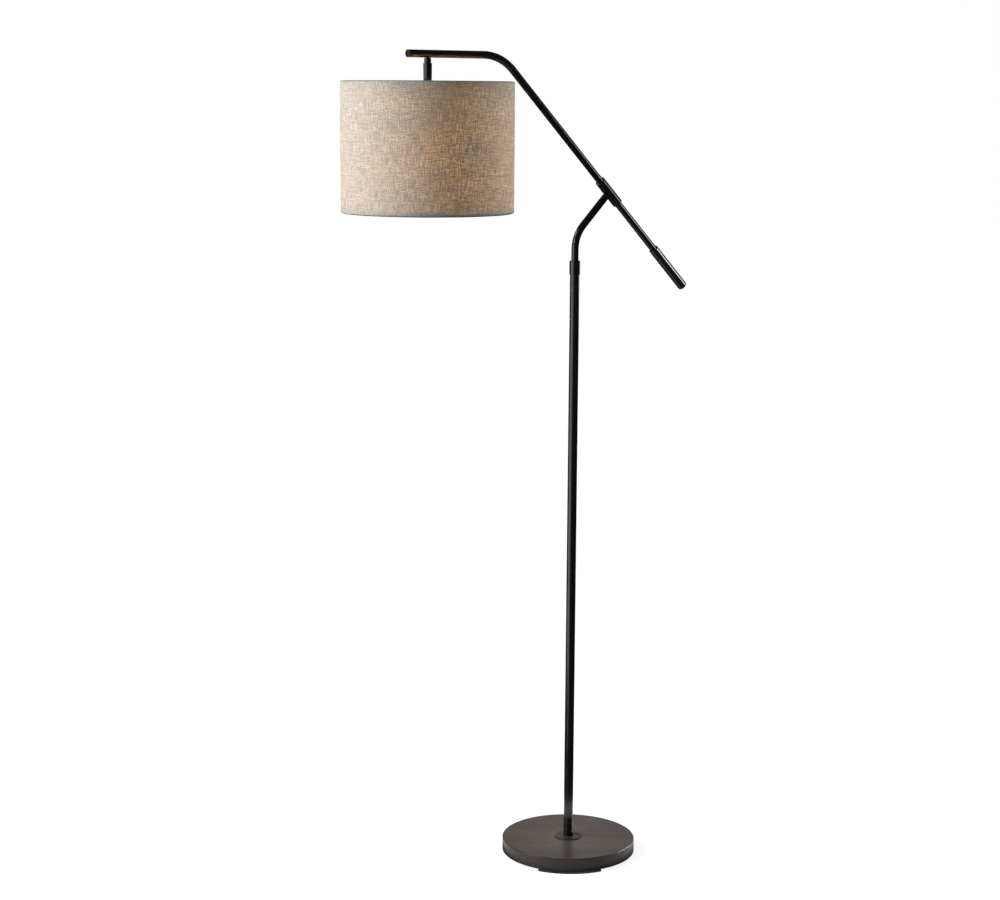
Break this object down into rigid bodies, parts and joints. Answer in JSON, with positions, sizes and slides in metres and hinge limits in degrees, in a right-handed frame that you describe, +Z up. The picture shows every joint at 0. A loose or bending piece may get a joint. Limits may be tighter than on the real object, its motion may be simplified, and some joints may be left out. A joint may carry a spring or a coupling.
{
  "type": "adjustable arm floor lamp",
  "caption": "Floor lamp with a round weighted base, a straight pole, a counterweighted arm that slides and swivels, and a hanging fabric drum shade.",
  "frame": {"origin": "on the floor, under the centre of the round base, on the axis of the pole", "axes": "+Z up along the pole; the arm lies in the XZ plane, with the shade on the -X side and the counterweight on the +X side"},
  "size_m": [0.779, 0.3184, 1.5916],
  "materials": {
    "bronze_paint": "satin dark bronze lacquer",
    "base_paint": "satin dark bronze lacquer, faintly brushed",
    "cast_iron": "raw, dark",
    "zinc_steel": "zinc plated",
    "shade_wire": "satin dark lacquer",
    "bulb_cap": "plain",
    "rubber": "matt",
    "black_nylon": "matt, black",
    "nylon": "matt, natural",
    "phenolic": "semi-matt moulded",
    "insulator": "glazed",
    "brass": "plain",
    "bulb_glass": "frosted, lit",
    "styrene": "translucent off-white film",
    "linen": "slubby plain weave"
  },
  "bodies": {
    "stand": {"base_shell": "base_paint", "base_weight": "cast_iron", "rim_foot_1": "rubber", "rim_foot_2": "rubber", "rim_foot_3": "rubber", "nut_cover_pad": "rubber", "cord_grommet": "rubber", "base_washer": "zinc_steel", "base_nut": "zinc_steel", "base_nipple": "zinc_steel", "base_flange": "base_paint", "pole_bush": "zinc_steel", "pole_lower": "bronze_paint", "pole_upper": "bronze_paint", "pole_coupler": "zinc_steel", "pole_collar": "bronze_paint", "collar_bush": "nylon", "stem_rest": "zinc_steel"},
    "neck": {"bent_tube": "bronze_paint", "swivel_bush": "black_nylon"},
    "sleeve": {"arm_sleeve": "bronze_paint", "swivel_nut": "zinc_steel", "sleeve_liner_upper": "nylon", "sleeve_liner_lower": "nylon"},
    "arm": {"arm_tube": "bronze_paint", "arm_end_plug": "bronze_paint", "tail_plug": "zinc_steel", "counterweight": "bronze_paint", "ball_housing": "bronze_paint", "housing_nut": "zinc_steel"},
    "swivel_ring": {"ball_cup": "nylon"},
    "shade_head": {"swivel_ball": "zinc_steel", "stem_nut": "zinc_steel", "socket_cover": "bronze_paint", "socket_nipple": "zinc_steel", "socket_cap": "phenolic", "socket_shell": "phenolic", "socket_insulator": "insulator", "bulb_base": "bulb_cap", "bulb_glass": "bulb_glass", "shade_spider": "shade_wire", "bottom_ring": "shade_wire", "shade_liner": "styrene", "shade_fabric": "linen"},
    "switch": {"switch_knob": "brass"}
  },
  "joints": [
    {"name": "neck_turn", "type": "hinge", "parent": "stand", "child": "neck", "pos_m": [0, 0, 1.15], "axis": [0, 0, 1], "range_deg": [-170, 170]},
    {"name": "arm_swivel", "type": "hinge", "parent": "neck", "child": "sleeve", "pos_m": [0.08118, 0, 1.32588], "axis": [0.7071, 0, 0.7071], "range_deg": [-30, 30]},
    {"name": "arm_slide", "type": "slide", "parent": "sleeve", "child": "arm", "axis": [-0.7071, 0, 0.7071], "range_m": [-0.15, 0.12]},
    {"name": "shade_tilt", "type": "hinge", "parent": "arm", "child": "swivel_ring", "pos_m": [-0.34078, 0, 1.57054], "axis": [0, 1, 0], "range_deg": [-7, 15]},
    {"name": "shade_lean", "type": "hinge", "parent": "swivel_ring", "child": "shade_head", "pos_m": [-0.34078, 0, 1.57054], "axis": [1, 0, 0], "range_deg": [-12, 12]},
    {"name": "switch_turn", "type": "hinge", "parent": "shade_head", "child": "switch", "pos_m": [-0.37078, 0, 1.50068], "axis": [-1, 0, 0], "continuous": true}
  ]
}
